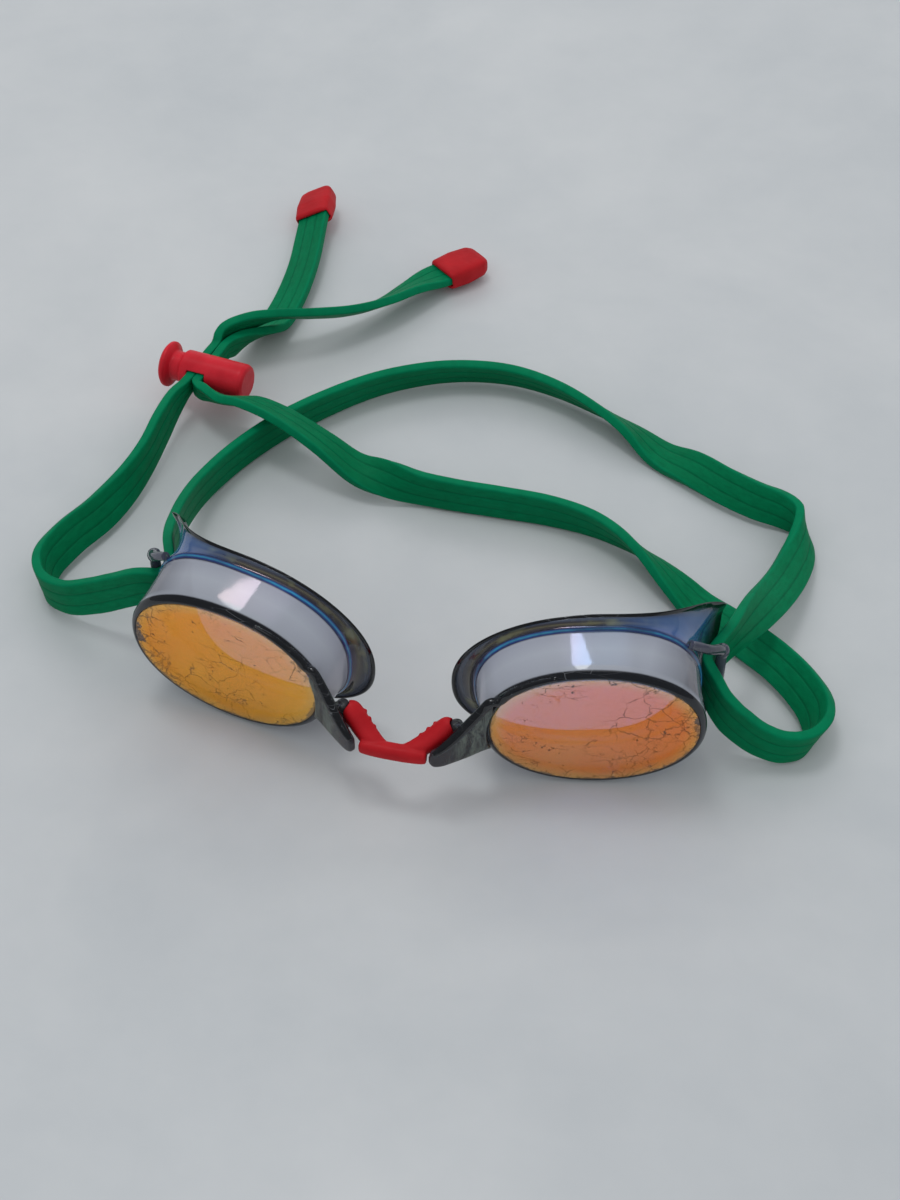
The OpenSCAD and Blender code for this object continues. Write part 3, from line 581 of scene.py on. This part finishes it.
def eyecup(side, mat):
    steps, per = 240, 4
    verts, zones = [], []
    for i in range(steps):
        t = 180 - i * 360 / steps
        p, z = round_section(section(t), per, CORNER)
        verts.append(p)
        zones += z
    m = len(verts[0])
    shell = place_cup(np.vstack(verts))
    zones = np.array(zones)
    sx = np.array([side, 1, 1])

    o = make(f"{'right' if side > 0 else 'left'}_cup_moulding", world(shell * sx), loft_faces(steps, m, True), mat)

    # nose tab: rounded strip from the rim to its tip, clear of the pane
    path = catmull([[19.2, -3.9, 1.3, 12.0, 26.8], [17.4, -4.9, 1.35, 11.8, 24.5], [14.5, -7.3, 1.3, 11.6, 21.2], [12.0, -9.7, 1.2, 12.0, 18.9],
                    [10.0, -11.6, 1.05, 12.4, 17.6], [8.7, -12.8, 0.8, 13.2, 17.2], [8.15, -13.25, 0.35, 14.3, 16.1]], 6)
    rings = []
    for i, p in enumerate(path):
        a, b = path[max(0, i - 1)], path[min(len(path) - 1, i + 1)]
        u = unit([b[0] - a[0], b[1] - a[1]])
        q = np.array([-u[1], u[0]])
        zc, zh = (p[3] + p[4]) / 2, (p[4] - p[3]) / 2
        for k in range(40):
            s = se(p[2], zh, 4.2, -k * 9)
            # rounded, nearly box-shaped section
            rings.append([p[0] + q[0] * s[0], p[1] + q[1] * s[0], zc + s[1]])
    tabo = make("tab", world(np.array(rings) * sx), loft_faces(len(path), 40), mat)
    # room for the pane in front of its seat
    cut = []
    for d in (-PANE_T - 1.4, 4.6):
        for i in range(120):
            s = se(LENS_A + 0.55, LENS_B + 0.55, 2.1, i * 3)
            cut.append([s[0], s[1] + FACE_V, d])
    boolean(tabo, [make("cut", world(place_cup(cut) * sx), loft_faces(2, 120), None)], "DIFFERENCE")

    solids = [tabo]

    def turned(name, profile, at, n=40):
        ring = [[at[0] + r * cosd(k * 360 / n), at[1] + r * sind(k * 360 / n), z] for r, z in profile for k in range(n)]
        solids.append(make(name, world(np.array(ring) * sx), loft_faces(len(profile), n), mat))

    turned("peg", [(0.02, 12.9), (1.2, 12.92), (1.4, 13.1), (1.4, 19.6), (1.3, 19.95), (1.0, 20.2), (0.02, 20.3)], PEG)
    turned("bar", [(0.02, 10.95), (0.8, 11.0), (1.15, 11.35), (1.2, 11.8), (1.2, 23.4), (1.3, 23.9), (1.55, 24.5), (1.6, 25.1), (1.35, 25.9), (0.8, 26.4), (0.02, 26.5)], BAR)
    # web that carries the peg
    w = []
    c45, s45 = cosd(-42), sind(-42)
    for z in (13.0, 20.4):
        for x, y in ((0.2, -0.65), (2.5, -0.65), (2.5, 0.65), (0.2, 0.65)):
            w.append([PEG[0] + x * c45 - y * s45, PEG[1] + x * s45 + y * c45, z])
    solids.append(make("web", world(np.array(w) * sx), loft_faces(2, 4), mat, smooth=False))

    def arm(name, pts, radii, n=20):
        c = catmull(np.hstack([pts, np.array(radii)[:, None]]), 8)
        ring = []
        for i, q in enumerate(c):
            d = unit(c[min(i + 1, len(c) - 1), :3] - c[max(i - 1, 0), :3])
            s = unit(np.cross(d, [0.3, 0.2, 1.0]))
            b = np.cross(d, s)
            for k in range(n):
                ring.append(q[:3] + q[3] * (s * cosd(k * 360 / n) * 1.0 + b * sind(k * 360 / n)))
        solids.append(make(name, world(np.array(ring) * sx), loft_faces(len(c), n), mat))

    on_rim = [place_cup([*(se(FACE_A - 0.75, FACE_B - 0.75, 2.1, t) + np.array([0, FACE_V])), -0.25])[0].tolist() for t in (108, 118, 128, 138, 147)]
    arm("lip", on_rim + [[18.9, -4.5, 26.3], [17.4, -5.3, 24.3], [14.5, -7.7, 21.0], [12.1, -10.0, 18.7], [10.2, -11.8, 17.4], [8.9, -12.9, 16.7]], [0.35, 0.6, 0.75, 0.85, 0.95, 1.0, 1.05, 1.1, 1.05, 0.9, 0.6])
    arm("arm_top", [[BAR[0], BAR[1], 24.6], [62.9, 20.6, 27.0], [61.2, 17.6, 29.6], [59.2, 15.8, 31.8], [57.0, 14.4, 33.6]], [1.15, 1.15, 1.1, 1.05, 0.95])
    arm("arm_low", [[BAR[0], BAR[1], 11.9], [62.4, 20.2, 10.8], [60.4, 17.8, 9.9], [58.8, 16.0, 9.5], [56.8, 13.9, 9.6]], [1.2, 1.25, 1.2, 1.2, 1.15])

    names = [s.name for s in solids]
    clouds = [np.array([v.co[:] for v in s.data.vertices]) for s in solids]
    boolean(o, solids, "UNION")

    # zone, part and tip for every vertex of the finished moulding, from the shape it came from
    me = o.data
    co = np.empty(len(me.vertices) * 3)
    me.vertices.foreach_get("co", co)
    co = co.reshape(-1, 3)
    src = world(shell * sx)
    tree = KDTree(len(src))
    for i, p in enumerate(src):
        tree.insert(p, i)
    tree.balance()
    other = KDTree(sum(len(c) for c in clouds))
    kinds, j = [], 0
    for n, c in zip(names, clouds):
        for p in c:
            other.insert(p, j)
            kinds.append(3.0 if n.startswith("lip") else 1.0 if n.startswith(("tab", "peg", "web")) else 2.0)
            j += 1
    other.balance()
    zone, part, tips = np.zeros(len(co)), np.zeros(len(co)), np.zeros(len(co))
    for i, p in enumerate(co):
        _, a, d0 = tree.find(p)
        _, b, d1 = other.find(p)
        zone[i] = zones[a]
        if d0 > 2e-5 and d1 < d0:
            part[i] = kinds[b]
        tips[i] = (19.0 - abs(p[0] * 1000 - HOME[0])) / 11.0
    for k, v in (("zone", zone), ("part", part), ("tip", np.clip(tips, 0, 1))):
        at = me.attributes.get(k) or me.attributes.new(k, "FLOAT", "POINT")
        at.data.foreach_set("value", v.astype(np.float32))
    me.polygons.foreach_set("use_smooth", [True] * len(me.polygons))
    wn = o.modifiers.new("even shading", "WEIGHTED_NORMAL")
    wn.keep_sharp, wn.weight = True, 60
    return o


def pane(side, mat):
    """Flat oval pane with a small ground edge, standing just proud of the rim."""
    n = 180
    steps = [(0.0, -PANE_T, 0.35), (0.0, -PANE_T, 0.0), (0.0, -0.25, 0.0), (0.0, -0.06, 0.05), (0.0, 0.06, 0.16), (0.0, 0.115, 0.34)]
    verts, rim, tem, high = [], [], [], []

    def ring(inset, d, k):
        for i in range(n):
            s = se((LENS_A - inset) * k, (LENS_B - inset) * k, 2.1, i * 360 / n)
            verts.append([s[0], s[1] + FACE_V, d])
            rim.append(k if k < 1 else 1.0)
            tem.append((s[0] / LENS_A + 1) / 2)
            high.append((s[1] / LENS_B + 1) / 2)

    order = [(0, -PANE_T, k / 10) for k in range(1, 10)] + [(i, d, 1.0) for _, d, i in steps] + [(0.34, 0.118, 1 - k / 14) for k in range(1, 14)]
    for inset, d, k in order:
        ring(inset, d, k)
    o = make(f"{'right' if side > 0 else 'left'}_mirror_pane", world(place_cup(verts) * np.array([side, 1, 1])), loft_faces(len(order), n), mat, {"rim": rim, "temple": tem, "high": high})
    return o


smoke = mat_smoke()
right_moulding = eyecup(1, smoke)
left_moulding = eyecup(-1, smoke)
# the last colour given to each pane serves both its coating drift and the painted reflection on its lower part
right_pane = pane(1, mat_lens("mirror_coating_orange", (1.0, 0.240, 0.025), (0.07, 0.42, 0.66), 0.37, (0.96, 0.33, 0.08)))
left_pane = pane(-1, mat_lens("mirror_coating_gold", (1.0, 0.370, 0.040), (0.17, 0.33, 0.54), 1.91, (1.0, 0.48, 0.05)))
for o, body, node, sl in ((right_moulding, "right_cup", "right_eyecup", "smoke_plastic"), (left_moulding, "left_cup", "left_eyecup", "smoke_plastic"),
                          (right_pane, "right_cup", "right_lens", "mirror_orange"), (left_pane, "left_cup", "left_lens", "mirror_gold")):
    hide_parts(node)
    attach(o, body)


# ------------------------------------------------------------------ nose bridge, strap caps and cord lock
red_soft = mat_red("red_flexible_polymer", (0.54, 0.012, 0.018), (0.42, 0.007, 0.012), 0.46, 0.03, 0.2)
red_hard = mat_red("red_moulded_plastic", (0.70, 0.020, 0.036), (0.56, 0.012, 0.024), 0.34, 0.12, 0.2)

def sweep(path, n=28, power=3.0):
    """Closed rounded bar along (x, y, half width, low, high) points."""
    rings = []
    for i, p in enumerate(path):
        a, b = path[max(0, i - 1)], path[min(len(path) - 1, i + 1)]
        u = unit([b[0] - a[0], b[1] - a[1]])
        for k in range(n):
            q = se(p[2], (p[4] - p[3]) / 2, power, -k * 360 / n)
            rings.append([p[0] - u[1] * q[0], p[1] + u[0] * q[0], (p[3] + p[4]) / 2 + q[1]])
    return np.array(rings), loft_faces(len(path), n)


def nose_piece(mat):
    """Bar across the nose with an arm up to each peg, three small steps on each nose side, all melted together."""
    verts, faces = [], []

    def take(v, f):
        base = len(verts)
        verts.extend(v.tolist())
        faces.extend([tuple(base + i for i in q) for q in f])

    bar = catmull([[-7.3, -12.0, 0.6, 13.4, 15.2], [-6.75, -12.0, 1.2, 12.75, 15.85], [-3.5, -11.9, 1.65, 12.5, 16.1], [0, -11.9, 1.7, 12.45, 16.1],
                   [3.5, -11.9, 1.65, 12.5, 16.1], [6.75, -12.0, 1.2, 12.75, 15.85], [7.3, -12.0, 0.6, 13.4, 15.2]], 6)
    take(*sweep(bar, power=2.6))
    for s in (-1, 1):
        arm = catmull([[1.8, -11.25, 1.0, 13.2, 15.8], [3.95, -10.6, 1.85, 13.0, 16.5], [5.8, -9.55, 2.2, 13.2, 17.3], [7.45, -8.3, 2.25, 13.7, 18.4],
                       [8.8, -7.2, 2.25, 14.1, 19.6], [9.85, -6.4, 2.25, 14.4, 20.4], [10.7, -5.8, 2.05, 14.6, 20.5], [11.4, -5.25, 1.35, 15.1, 20.1]], 6)
        v, f = sweep(arm, power=2.3)
        take(v * np.array([s, 1, 1]), [tuple(reversed(q)) for q in f] if s < 0 else f)
        for x, y, lo, hi in ((7.62, -5.62, 14.5, 18.7), (6.4, -6.75, 14.2, 17.9), (5.1, -7.85, 14.0, 16.9)):
            ring = [[s * (x + r * cosd(k * 20)), y + r * sind(k * 20), z] for r, z in ((0.15, lo), (0.5, lo + 0.3), (0.5, hi - 0.3), (0.15, hi)) for k in range(18)]
            take(np.array(ring), [tuple(reversed(q)) for q in loft_faces(4, 18)] if s > 0 else loft_faces(4, 18))
    o = make("bridge_moulding", world(np.array(verts)), faces, mat)
    soften(o, 0.00017, 8)
    cutters = []
    for s in (-1, 1):
        ring = [[s * (PEG[0] + 1.47 * cosd(k * 9)), PEG[1] + 1.47 * sind(k * 9), z] for z in (10, 24) for k in range(40)]
        cutters.append(make(f"hole{s}", world(np.array(ring)), loft_faces(2, 40), None))
    boolean(o, cutters, "DIFFERENCE")
    o.data.polygons.foreach_set("use_smooth", [True] * len(o.data.polygons))
    wn = o.modifiers.new("even shading", "WEIGHTED_NORMAL")
    wn.keep_sharp = True
    return o


bridge = nose_piece(red_soft)
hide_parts("nose_bridge")
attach(bridge, "bridge_and_strap")

for node in ("strap_end_short", "strap_end_long"):
    cap = soften(copy_of(node, node + "_cap", red_soft), 0.00020, 24)
    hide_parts(node)
    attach(cap, "bridge_and_strap")

for node, body in (("lock_barrel", "cord_lock"), ("lock_plunger", "lock_button")):
    piece = soften(copy_of(node, node + "_shell", red_hard), 0.00018, 5)
    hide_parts(node)
    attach(piece, body)

# the coil keeps the CAD spring's shape and rides with the barrel
coil = copy_of("lock_spring", "lock_coil", mat_steel())
coil.data.polygons.foreach_set("use_smooth", [True] * len(coil.data.polygons))
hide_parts("lock_spring")
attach(coil, "cord_lock")
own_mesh(coil)


# ------------------------------------------------------------------ strap
def cad_rings(o):
    """The CAD ribbon's sections in order: centre, half width and half thickness vectors, in metres."""
    me = o.data
    co = np.array([v.co[:] for v in me.vertices])
    key, ids, uniq = {}, [], []
    for p in np.round(co * 1e6).astype(int):
        k = tuple(p)
        if k not in key:
            key[k] = len(uniq)
            uniq.append(co[len(ids)])
        ids.append(key[k])
    link = [set() for _ in uniq]
    for p in me.polygons:
        v = [ids[i] for i in p.vertices]
        for i in range(len(v)):
            a, b = v[i], v[(i + 1) % len(v)]
            if a != b:
                link[a].add(b)
                link[b].add(a)
    few = [i for i in range(len(uniq)) if len(link[i]) <= 5]
    start = np.array(mid("strap_end_long"))
    first = min(few, key=lambda i: np.linalg.norm(uniq[i] - start))
    layer = {first} | {j for j in link[first] if len(link[j]) <= 5}
    while len(layer) < 4:
        layer |= {j for i in layer for j in link[i] if len(link[j]) <= 5}
    seen, layers = set(layer), [sorted(layer)]
    while True:
        nxt = {j for i in layers[-1] for j in link[i]} - seen
        if not nxt:
            break
        layers.append(sorted(nxt))
        seen |= nxt
    out, prev = [], None
    for lay in layers:
        pts = np.array([uniq[i] for i in lay])
        c = pts.mean(0)
        a = pts[0] if prev is None else pts[np.argmin(((pts - prev) ** 2).sum(1))]
        d = np.linalg.norm(pts - a, axis=1)
        o_ = np.argsort(d)
        thick, wide = pts[o_[1]], pts[o_[2]]
        out.append(np.hstack([c, (a - wide) / 2, (a - thick) / 2]))
        prev = a
    return np.array(out)


rings = cad_rings(nodes["head_strap"])
# a quick twist can swap the corner that is followed: width and thickness keep their sense from one section to the next
turned_over = 0
for i in range(1, len(rings)):
    for k in (3, 6):
        if rings[i, k:k + 3] @ rings[i - 1, k:k + 3] < 0:
            rings[i, k:k + 3] *= -1
            turned_over += 1
keep = [0]
for i in range(1, len(rings) - 1):
    if np.linalg.norm(rings[i, :3] - rings[keep[-1], :3]) > 0.0008:
        keep.append(i)
R = catmull(rings[keep + [len(rings) - 1]], 3)
here = (R[:, :3] - np.array(HOME) / 1000) * 1000
loose = (np.abs(here[:, 0]) < 50) & (here[:, 1] > 60) & (here[:, 1] < 122)
loose[[0, -1]] = False
for _ in range(6):
    R[1:-1][loose[1:-1]] = ((R[:-2] + 2 * R[1:-1] + R[2:]) / 4)[loose[1:-1]]
thin = np.linalg.norm(R[:, 6:9], axis=1).min() * 2000
print("STRAP sections", len(rings), "put back", turned_over, "least thickness mm", round(float(thin), 2))

W, T, E = 4.6, 1.15, 0.5
face = [(-W + E, T, 0), (-3.1, T + 0.02, 0), (-2.05, T, 0), (-1.78, T - 0.04, 0.35), (-1.58, T - 0.17, 1), (-1.38, T - 0.04, 0.35), (-1.1, T, 0), (0, T + 0.02, 0),
        (1.1, T, 0), (1.38, T - 0.04, 0.35), (1.58, T - 0.17, 1), (1.78, T - 0.04, 0.35), (2.05, T, 0), (3.1, T + 0.02, 0), (W - E, T, 0)]
round_ = [(W - E * (1 - cosd(90 - a)), T - E * (1 - sind(90 - a)), 0) for a in (28, 62)]
half = face + round_ + [(W, T - E, 0), (W, 0, 0)]
SECTION = half + [(w, -t, g) for w, t, g in reversed(half[:-1])]
SECTION += [(-w, t, g) for w, t, g in [(W, -(T - E), 0), (W, 0, 0), (W, T - E, 0)]]
# order: top face, right edge, bottom face, left edge with its own rounded corners
left = [(-w, -t, g) for w, t, g in round_]
SECTION = half + [(w, -t, g) for w, t, g in reversed(half[:-1])] + left + [(-W, -(T - E), 0), (-W, 0, 0), (-W, T - E, 0)] + [(-w, t, g) for w, t, g in reversed(round_)]
SECTION = np.array(SECTION)

dist = np.concatenate([[0], np.cumsum(np.linalg.norm(np.diff(R[:, :3], axis=0), axis=1))]) * 1000
x_mid = HOME[0] / 1000
far = [i for i in range(1, len(R)) if (R[i - 1, 0] - x_mid) * (R[i, 0] - x_mid) <= 0 and R[i, 1] > world([0, 60, 0])[1]]
first_cut, second_cut = far[0], far[-1]


def ribbon(spans, name, mat):
    verts, faces, along, across, groove = [], [], [], [], []
    m = len(SECTION)
    for lo, hi in spans:
        base = len(verts)
        for i in range(lo, hi + 1):
            c, w, b = R[i, :3], R[i, 3:6], R[i, 6:9]
            for sw, sb, g in SECTION:
                verts.append(c + w * (sw / W) + b * (sb / T))
                along.append(dist[i])
                across.append(sw / W / 2)
                groove.append(g)
        faces += loft_faces(hi - lo + 1, m, base=base)
    o = make(name, np.array(verts), faces, mat, {"along": along, "across": across, "groove": groove})
    where = np.concatenate([np.arange(lo * m, (hi + 1) * m) for lo, hi in spans])
    normals = []
    for p in o.data.polygons:
        flat = len(p.vertices) > 8
        around = [NORMALS[where[v]] for v in p.vertices]
        normals += [tuple(p.normal) if flat else tuple(n if np.dot(n, p.normal) >= 0 else -n) for n in around]
    o.data.normals_split_custom_set(normals)
    return o


def whole_normals():
    """Vertex normals of the uncut ribbon, so that both halves are shaded alike where they meet."""
    m = len(SECTION)
    pts = np.array([R[i, :3] + R[i, 3:6] * (sw / W) + R[i, 6:9] * (sb / T) for i in range(len(R)) for sw, sb, _ in SECTION])
    me = bpy.data.meshes.new("whole")
    me.from_pydata([tuple(p) for p in pts], [], [tuple(q) for q in loft_faces(len(R), m)])
    me.polygons.foreach_set("use_smooth", [True] * len(me.polygons))
    me.update()
    n = np.array([tuple(v.normal) for v in me.vertices])
    bpy.data.meshes.remove(me)
    return n


NORMALS = whole_normals()


rubber = mat_strap()
strap_right = ribbon([(first_cut, second_cut)], "strap_right_half", rubber)
strap_left = ribbon([(0, first_cut), (second_cut, len(R) - 1)], "strap_left_half", rubber)
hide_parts("head_strap")
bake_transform(strap_right)
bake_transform(strap_left)


# ------------------------------------------------------------------ floor, light, camera
floor_mesh = bpy.data.meshes.new("floor")
s = 3.0
floor_mesh.from_pydata([(-s, -s, 0), (s, -s, 0), (s, s, 0), (-s, s, 0)], [], [(0, 1, 2, 3)])
floor = bpy.data.objects.new("floor", floor_mesh)
bpy.context.scene.collection.objects.link(floor)
floor_mesh.materials.append(mat_floor())

sky = bpy.data.worlds.new("soft_room")
bpy.context.scene.world = sky
sky.use_nodes = True
wt = sky.node_tree
bg = wt.nodes["Background"]
bg.inputs["Color"].default_value = (0.93, 0.96, 1.0, 1)


def wn(kind, inputs, **props):
    n = wt.nodes.new(kind)
    for k, v in props.items():
        setattr(n, k, v)
    for k, v in inputs.items():
        if hasattr(v, "links"):
            wt.links.new(v, n.inputs[k])
        else:
            n.inputs[k].default_value = v
    return n


d = wn("ShaderNodeSeparateXYZ", {0: wn("ShaderNodeTexCoord", {}).outputs["Generated"]})


def band(value, a, b):
    return wn("ShaderNodeMapRange", {"Value": value, "From Min": a, "From Max": b}, interpolation_type="SMOOTHSTEP").outputs["Result"]


def mul(a, b, op="MULTIPLY"):
    return wn("ShaderNodeMath", {0: a, 1: b}, operation=op).outputs[0]


above = mul(band(d.outputs["Z"], 0.90, 0.985), 0.75)
behind = mul(mul(band(d.outputs["Y"], 0.45, 0.95), band(d.outputs["Z"], 0.02, 0.16)), mul(band(d.outputs["Z"], 0.55, 0.36), 0.55))
mirrored = mul(mul(above, behind, "ADD"), 0.17, "ADD")
glossy = wn("ShaderNodeLightPath", {}).outputs["Is Glossy Ray"]
wt.links.new(wn("ShaderNodeMix", {0: glossy, 2: 0.70, 3: mirrored}, data_type="FLOAT").outputs[0], bg.inputs["Strength"])

target = Vector(world([0, 50, 0]))


def softbox(name, direction, distance, size, power, colour, size_y=None):
    l = bpy.data.lights.new(name, "AREA")
    l.shape = "RECTANGLE"
    l.size, l.size_y = size, size_y or size
    l.energy, l.color = power, colour
    o_glossy = name != "far_window"
    o = bpy.data.objects.new(name, l)
    o.visible_glossy = o_glossy
    bpy.context.scene.collection.objects.link(o)
    o.location = target + Vector(direction).normalized() * distance
    o.rotation_euler = (target - o.location).to_track_quat("-Z", "Y").to_euler()
    return o


softbox("ceiling_window", (-0.21, 0.13, 0.97), 1.6, 0.36, 3.8, (0.95, 0.98, 1.0), 0.46)
softbox("far_window", (-0.30, 1.0, 0.75), 2.2, 1.8, 6.0, (0.98, 0.99, 1.0), 0.7)

F, EL, AZ, DIST = 1870.45, math.radians(45.68), math.radians(13.21), 421.0
back_dir = Vector((math.sin(AZ) * math.cos(EL), -math.cos(AZ) * math.cos(EL), math.sin(EL)))
right_dir = Vector((math.cos(AZ), math.sin(AZ), 0))
up_dir = back_dir.cross(right_dir)
cam_data = bpy.data.cameras.new("camera")
cam_data.sensor_width = 36
cam_data.lens = F * 36 / 1200
cam_data.clip_start = 0.01
cam = bpy.data.objects.new("camera", cam_data)
bpy.context.scene.collection.objects.link(cam)
pos = Vector(world([1.65, 33.25, 15])) + back_dir * DIST / 1000
cam.matrix_world = Matrix(((right_dir.x, up_dir.x, back_dir.x, pos.x), (right_dir.y, up_dir.y, back_dir.y, pos.y), (right_dir.z, up_dir.z, back_dir.z, pos.z), (0, 0, 0, 1)))
bpy.context.scene.camera = cam
bpy.context.scene.view_settings.view_transform = "Standard"
